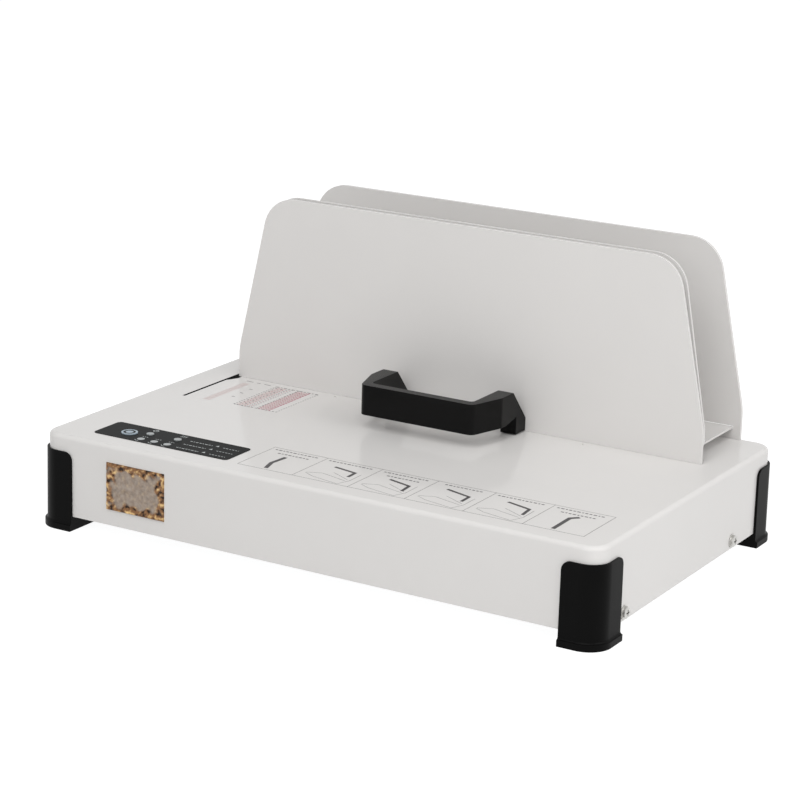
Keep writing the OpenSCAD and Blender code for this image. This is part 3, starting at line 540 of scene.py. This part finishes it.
# The strip of six cells along the front edge. Every cell has a bent bar, and the middle four also
# have a few thin lines; one or two rows of dashes fill its head. All its sizes are in millimetres.
STRIP_X, STRIP_Y, CELL_W, CELL_D = -62.2, -116.2, 42.0, 44.8
FRAME_LINE, THIN_LINE, WIDE_BAR, NARROW_BAR = 0.32, 0.28, 2.9, 2.2
ROW_H, ROW_GAP, UPPER_ROW_Y, LOWER_ROW_Y = 1.3, 1.0, 40.6, 34.6
BARS = (
    [(18.6, 29.5), (17.2, 14.5), (20.3, 3.0)],
    [(13.8, 31.0), (31.4, 27.3), (31.9, 17.5)],
    [(14.7, 29.0), (31.8, 24.0), (33.0, 12.4)],
    [(12.9, 32.8), (31.9, 27.0), (32.3, 16.2)],
    [(14.9, 32.6), (32.8, 27.3), (34.2, 15.1)],
    [(19.9, 2.6), (19.4, 26.4), (24.0, 31.0)],
)
THIN_LINES = (
    [(4.4, 10.9), (14.0, 15.2), (35.0, 9.4)],
    [(4.4, 10.0), (12.0, 6.0), (33.4, 1.4)],
    [(19.4, 20.4), (35.0, 12.2)],
    [(36.8, 26.0), (37.0, 10.6), (33.4, 1.4)],
)
strip_bars, strip_lines, strip_rows = [], [], []
for i, bent in enumerate(BARS):
    x = STRIP_X + i * CELL_W
    at_end = i in (0, len(BARS) - 1)
    strip_lines += frame_lines(x, STRIP_Y, CELL_W + FRAME_LINE, CELL_D, FRAME_LINE)
    bar_width = WIDE_BAR if at_end else NARROW_BAR
    strip_bars.append(stroke([(x + u, STRIP_Y + v) for u, v in bent], bar_width))
    row_from, row_to = (7.0, 34.0) if i == 3 else (3.4, 36.8)
    row_y = STRIP_Y + UPPER_ROW_Y
    strip_rows += dashed((x + row_from, row_y), (x + row_to, row_y), ROW_H,
                         (1.7, 2.4, 1.2, 2.0), ROW_GAP)
    if i in (0, 2, 5):
        row_y = STRIP_Y + LOWER_ROW_Y
        strip_rows += dashed((x + 9.0, row_y), (x + 33.4, row_y), ROW_H, (2.2, 1.3, 1.8), ROW_GAP)
    if not at_end:
        for line in THIN_LINES:
            strip_lines.append(stroke([(x + u, STRIP_Y + v) for u, v in line], THIN_LINE))
laid_flat("step_strip_bars", top_z, strip_bars, black_ink)
laid_flat("step_strip_lines", top_z, strip_lines, grey_ink)
laid_flat("step_strip_heads", top_z, strip_rows, grey_ink)

# The ruled table and the narrow scale to its left, in front of the plate's left end. Dotted rulings
# run along the table, and two of its columns are filled with fine ones.
TABLE_X, TABLE_Y, TABLE_W, TABLE_D = -142.4, -1.9, 35.4, 54.2
TABLE_FAR = TABLE_Y + TABLE_D
SCALE_X, SCALE_Y, SCALE_W, SCALE_D = -167.6, -4.2, 5.6, 51.6


def rulings(lines_x, width, lengths, gap):
    """Dotted lines along the table, one at each of the places."""
    made = []
    for x in lines_x:
        made += dashed((TABLE_X + x, TABLE_Y), (TABLE_X + x, TABLE_FAR), width, lengths, gap)
    return made


table_grey = rulings((0, 10.9, 14.2, TABLE_W), 0.55, (1.5,), 1.6)
table_grey += rulings((2.4, 6.8), 0.7, (1.2, 2.0), 2.9)
table_grey += rulings((19.0,), 0.7, (2.2, 1.4), 1.7)
table_grey += dashed((TABLE_X, TABLE_Y), (TABLE_X + TABLE_W, TABLE_Y), 0.7, (1.8,), 1.1)
table_grey += dashed((TABLE_X, TABLE_FAR), (TABLE_X + TABLE_W, TABLE_FAR), 1.0, (2.6, 1.2), 1.4)
table_grey += dashed((-168.0, 52.8), (-145.0, 52.4), 0.7, (5.4, 3.0), 3.4)
for x, y in ((-154.6, 35.4), (-154.9, 24.0), (-154.8, 13.1)):
    table_grey.append(bar(x, y, 2.6, 0.8))
table_pink = [
    bar(TABLE_X + 1.4, TABLE_Y + 1, 8.2, TABLE_D - 2),
    bar(TABLE_X + 19.4, TABLE_Y + 2, 9.2, TABLE_D - 4),
    bar(SCALE_X, SCALE_Y, SCALE_W, SCALE_D),
]
table_red = rulings((20.6, 22.7, 24.8, 26.9), 0.95, (1.5, 1.1), 1.4)
table_red += rulings((29.0,), 1.0, (2.8,), 0.8)
table_red += rulings((4.6, 9.0), 0.7, (1.3, 0.9), 2.3)
table_red += rulings((12.6,), 0.6, (1.2,), 2.2)
laid_flat("ruled_table_fill", top_z - LAYER_T / 2, table_pink, pink_ink)
laid_flat("ruled_table_grey", top_z, table_grey, grey_ink)
laid_flat("ruled_table_red", top_z, table_red, red_ink)

# The marks on the film: a ring and three waves over the keys, ticks at the lamps, and three rows of
# dashes with a triangle in each. Their places are in millimetres.
MARK_RING_X, MARK_RING_Y, WAVES_X, WAVES_STEP = -146.8, -88.6, -125.6, 1.8
WAVE = ((0, -90.4), (0.5, -89.3), (0, -88.2), (0.5, -87.0))
LAMPS_X, TICKS_Y = (-144.6, -133.8, -123.1), -104.0
HOOK = ((-2.6, -112.2), (-1.4, -113.6), (1.2, -113.9))
film_marks = ring(MARK_RING_X, MARK_RING_Y, 1.5, 2.1, 24)
film_marks += [bar(-147.0, -88.8, 0.4, 1.4), bar(-147.0, -88.8, 1.2, 0.4)]
for i in range(3):
    film_marks.append(stroke([(WAVES_X + WAVES_STEP * i + u, y) for u, y in WAVE], 0.45))
for lamp_x in LAMPS_X:
    film_marks += dashed((lamp_x - 2.2, TICKS_Y), (lamp_x + 2.2, TICKS_Y), 0.6, (1.0,), 0.7)
    film_marks.append(stroke([(lamp_x + u, y) for u, y in HOOK], 0.4))
for y in (-94.4, -102.4, -110.8):
    film_marks += dashed((-114.4, y), (-96.8, y), 0.8, (1.6, 1.1, 2.2), 0.8)
    film_marks.append([(-94.2, y), (-91.6, y), (-92.9, y + 2.4)])
    film_marks += dashed((-88.0, y), (-75.6, y), 0.7, (1.2, 1.8), 0.9)
laid_flat("film_marks", film_z, film_marks, pale_ink)

# The start key's cap carries a dark ring round its bright middle, printed on the cap
start_low, start_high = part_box("start_key")
start_middle = (start_low + start_high) / 2 / MM
laid_flat("start_key_ring", start_high.z, ring(start_middle.x, start_middle.y, 2.7, 4.2, 32),
          overlay, body="start_key")


# Electronics: glass-epoxy boards with green solder mask, and the parts soldered on them.
# They sit inside the housing, seen only through its slots.

# Solder mask is a glossy dark green, nylon a translucent cream, and the lamps' epoxy faintly milky
solder_mask = surface("green_solder_mask", "#1F5B36", "#17492A", 3, 0.35, 1.0, 0.01)
nylon_spacer = surface("natural_nylon", "#DAD7C9", "#D0CDBF", 6, 0.5, 0.8, 0.006)
tape_wound = surface("taped_transformer", "#C9B04A", "#B89F3C", 5, 0.4, 1.0, 0.01)
lamp_epoxy = surface("diffused_lamp_epoxy", "#D7E2D8", "#CBD7CC", 3, 0.25, 0.8, 0.003)
for name in ("control_board", "power_board"):
    dress(name, solder_mask)
for name in ("board_spacers", "power_spacers"):
    dress(name, nylon_spacer)
for name in ("key_switches", "buzzer", "heater_relay"):
    dress(name, black_phenolic)
dress("transformer", tape_wound)
dress("indicator_lamps", lamp_epoxy)


# Mains side: a snap-in inlet and a rocker switch on the back wall, both moulded in black.
# Their flanges hide the edges of the cut-outs, and their corners have small moulded radii.
softened("mains_inlet_moulding", "mains_inlet", 0.4, 2, moulded_abs)
softened("rocker_frame_moulding", "rocker_frame", 0.4, 2, moulded_abs)
softened("rocker_paddle", "rocker", 0.5, 3, handle_nylon)


# Plaque: a plain cast bronze plate, glued on the front wall, with a raised border and a low field.
# The casting is uneven all over, so its face is one relief, from a noise a few millimetres across.
BORDER_W, BORDER_H, FIELD_H, RELIEF_H = 3.6 * MM, 1.0 * MM, 0.5 * MM, 0.9 * MM
SLOPE_W, ROUND_W, LEAST_H = 0.9 * MM, 0.5 * MM, 0.15 * MM
ACROSS, UPWARD, RELIEF_SMOOTH_DEG = 94, 66, 50

# The noise has LAYERS, each FINER times as fine as the one before, and weaker by the power DECAY of it
GRAIN, DECAY, FINER, LAYERS = 3.2 * MM, 0.9, 2.0, 3

# The border's bare bronze ends in the field along a wavy line, and a little of it shows all over
WAVE_LENGTH, WAVE_REACH, WAVE_SLICE = 5 * MM, 5 * MM, 7 * MM
RUBBED_REACH, RUBBED_FADE, FIELD_BRONZE = 2.4 * MM, 2.6 * MM, 0.12
plaque_low, plaque_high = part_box("badge_plate")


def patinated_casting():
    """Cast bronze, dark in its hollows and bright on its ridges, with a grey wash over the field."""
    made = bpy.data.materials.new("patinated_cast_bronze")
    made.use_nodes = True
    tree = made.node_tree
    tree.nodes.clear()
    place = node(tree, "ShaderNodeTexCoord").outputs["Object"]
    height = node(tree, "ShaderNodeAttribute", attribute_name="height").outputs["Fac"]
    tone = paint("#24150B")
    for low, high, brighter in ((0.25, 0.5, "#86603F"), (0.56, 0.9, "#F0CC8E")):
        share = node(tree, "ShaderNodeMapRange", {"Value": height, "From Min": low, "From Max": high})
        tone = node(tree, "ShaderNodeMix",
                    {"Factor": share.outputs[0], "A": tone, "B": paint(brighter)},
                    data_type="RGBA").outputs["Result"]
    wash = speckled(tree, place, 3.4, "#5A4A3C", "#BEB2A6", 4.0)
    border = node(tree, "ShaderNodeAttribute", attribute_name="border").outputs["Fac"]
    colour = node(tree, "ShaderNodeMix", {"Factor": border, "A": wash, "B": tone}, data_type="RGBA")
    shader = node(tree, "ShaderNodeBsdfPrincipled", {
        "Base Color": colour.outputs["Result"], "Normal": grained(tree, place, 0.7, 0.03),
        "Metallic": 0.6, "Roughness": 0.3,
    })
    node(tree, "ShaderNodeOutputMaterial", {"Surface": shader.outputs[0]})
    return made


def relief(x, z, wide, high):
    """How high the plaque's face stands at a point, how rough it is there, and its share of bronze."""
    inset = min(x, wide - x, z, high - z)
    raised = min(max((BORDER_W - inset) / SLOPE_W, 0), 1)
    rim = min(inset / ROUND_W, 1)
    rough = 0.5 + 0.5 * noise.fractal(Vector((x, z, 0)) / GRAIN, DECAY, FINER, LAYERS)
    wave = noise.noise(Vector((x, z, WAVE_SLICE)) / WAVE_LENGTH) * WAVE_REACH
    bronze = min(max((BORDER_W + wave + RUBBED_REACH - inset) / RUBBED_FADE, FIELD_BRONZE), 1)
    height = rim * (FIELD_H + raised * (BORDER_H - FIELD_H) + RELIEF_H * (rough - 0.5))
    return max(height, LEAST_H), min(max(rough, 0), 1), bronze


def cast_plaque():
    """The plaque as one closed casting, with its relief as geometry."""
    wide, high = plaque_high.x - plaque_low.x, plaque_high.z - plaque_low.z
    back = plaque_high.y
    shape = bmesh.new()
    height_layer = shape.verts.layers.float.new("height")
    border_layer = shape.verts.layers.float.new("border")
    face = []
    for row in range(UPWARD + 1):
        for column in range(ACROSS + 1):
            x, z = wide * column / ACROSS, high * row / UPWARD
            height, rough, bronze = relief(x, z, wide, high)
            vert = shape.verts.new((plaque_low.x + x, back - height, plaque_low.z + z))
            vert[height_layer] = rough
            vert[border_layer] = bronze
            face.append(vert)
    per_row, last = ACROSS + 1, len(face) - 1
    for row in range(UPWARD):
        for column in range(ACROSS):
            corner = row * per_row + column
            above = corner + per_row
            shape.faces.new((face[corner], face[corner + 1], face[above + 1], face[above]))
    rim = face[:ACROSS] + face[ACROSS:last:per_row]
    rim += face[last:last - ACROSS:-1] + face[last - ACROSS:0:-per_row]
    foot = [shape.verts.new((vert.co.x, back, vert.co.z), vert) for vert in rim]
    for i in range(len(rim)):
        shape.faces.new((rim[i], rim[i - 1], foot[i - 1], foot[i]))
    shape.faces.new(foot)
    bmesh.ops.recalc_face_normals(shape, faces=shape.faces)
    mesh = bpy.data.meshes.new("cast_plaque")
    shape.to_mesh(mesh)
    shape.free()
    mesh.materials.append(patinated_casting())
    mesh.shade_smooth()
    mesh.set_sharp_from_angle(angle=math.radians(RELIEF_SMOOTH_DEG))
    made = added("cast_plaque", mesh)
    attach(made, "base")
    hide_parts("badge_plate")


cast_plaque()


# Floor and light: a white table in a white room, with two broad lamps in front and one on the right.
# The lamps and the room light the machine evenly, with soft shadows on the trough and under it.
FLOOR_REACH, FLOOR_GLOW, ROOM_LIGHT, ROOM_SEEN = 6, 0.92, 0.45, 1.0
LIT_POINT = Vector((0, 0, 0.08))


def seen_itself(tree):
    """1 where a surface is seen, also in a mirror or through glass, and 0 where it only lights."""
    rays = node(tree, "ShaderNodeLightPath").outputs
    seen = rays["Is Camera Ray"]
    for way in ("Is Glossy Ray", "Is Transmission Ray"):
        seen = node(tree, "ShaderNodeMath", {0: seen, 1: rays[way]}, operation="MAXIMUM").outputs[0]
    return seen


def white_stage():
    """A floor that shows as white and keeps a faint shadow, and is a plain pale grey to the light."""
    made = bpy.data.materials.new("white_floor")
    made.use_nodes = True
    tree = made.node_tree
    tree.nodes.clear()
    pale = node(tree, "ShaderNodeBsdfDiffuse", {"Color": paint("#E8E8E8")})
    shade = node(tree, "ShaderNodeBsdfDiffuse", {"Color": paint("#8A8A8A")})
    glow = node(tree, "ShaderNodeEmission", {"Color": paint("#FFFFFF"), "Strength": FLOOR_GLOW})
    white = node(tree, "ShaderNodeAddShader", {0: shade.outputs[0], 1: glow.outputs[0]})
    mixed = node(tree, "ShaderNodeMixShader",
                 {0: seen_itself(tree), 1: pale.outputs[0], 2: white.outputs[0]})
    node(tree, "ShaderNodeOutputMaterial", {"Surface": mixed.outputs[0]})
    return made


floor_mesh = bpy.data.meshes.new("floor")
floor_corners = [(x * FLOOR_REACH, y * FLOOR_REACH, 0) for x, y in ((-1, -1), (1, -1), (1, 1), (-1, 1))]
floor_mesh.from_pydata(floor_corners, [], [(0, 1, 2, 3)])
floor_mesh.materials.append(white_stage())
added("floor", floor_mesh)

world = bpy.data.worlds.new("studio")
bpy.context.scene.world = world
world.use_nodes = True
room = world.node_tree
room.nodes.clear()
strength = node(room, "ShaderNodeMix", {"Factor": seen_itself(room), "A": ROOM_LIGHT, "B": ROOM_SEEN},
                data_type="FLOAT").outputs["Result"]
sky = node(room, "ShaderNodeBackground", {"Color": paint("#FFFFFF"), "Strength": strength})
node(room, "ShaderNodeOutputWorld", {"Surface": sky.outputs[0]})


def lamp(name, at, size, watts):
    """A square soft box that looks at the machine."""
    data = bpy.data.lights.new(name, "AREA")
    data.size = size
    data.energy = watts
    made = added(name, data)
    made.location = at
    made.rotation_euler = (LIT_POINT - Vector(at)).to_track_quat("-Z", "Y").to_euler()


lamp("front", (0.35, -1.5, 1.05), 1.2, 5.7)
lamp("front_above", (0.3, -0.9, 1.6), 1.2, 10.3)
lamp("right", (1.6, -0.1, 0.9), 1.0, 9.2)
